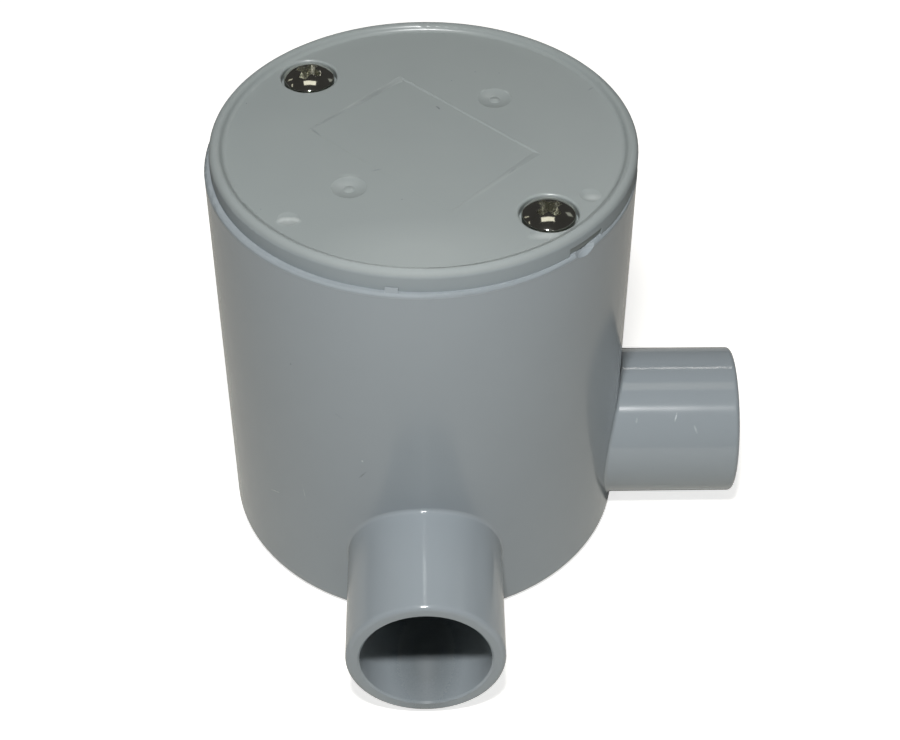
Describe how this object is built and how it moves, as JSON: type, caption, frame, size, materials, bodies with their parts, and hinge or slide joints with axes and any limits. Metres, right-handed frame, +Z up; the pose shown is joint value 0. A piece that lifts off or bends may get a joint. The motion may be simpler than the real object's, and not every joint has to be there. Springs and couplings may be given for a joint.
{
  "type": "junction box",
  "caption": "Deep round moulded junction box with conduit spouts at a right angle and a flat lid held down by pan-head screws.",
  "frame": {"origin": "middle of the flat base, on the axis of the round box", "axes": "+Z up along the box's axis to the lid, -Y out of the front conduit spout, +X out of the right conduit spout"},
  "size_m": [0.0855, 0.0855, 0.073],
  "materials": {
    "box_pvc": "satin",
    "lid_pvc": "satin",
    "screw_nickel": "polished",
    "insert_brass": "satin"
  },
  "bodies": {
    "box": {"box": "box_pvc", "insert_front_right": "insert_brass", "insert_back_left": "insert_brass"},
    "lid": {"lid": "lid_pvc"},
    "screw_front_right": {"screw_front_right": "screw_nickel"},
    "screw_back_left": {"screw_back_left": "screw_nickel"}
  },
  "joints": [
    {"name": "lid_lift", "type": "slide", "parent": "box", "child": "lid", "axis": [0, 0, 1], "range_m": [0, 0.06]},
    {"name": "screw_front_right_withdraw", "type": "slide", "parent": "lid", "child": "screw_front_right", "axis": [0, 0, 1], "range_m": [0, 0.016]},
    {"name": "screw_back_left_withdraw", "type": "slide", "parent": "lid", "child": "screw_back_left", "axis": [0, 0, 1], "range_m": [0, 0.016]}
  ]
}
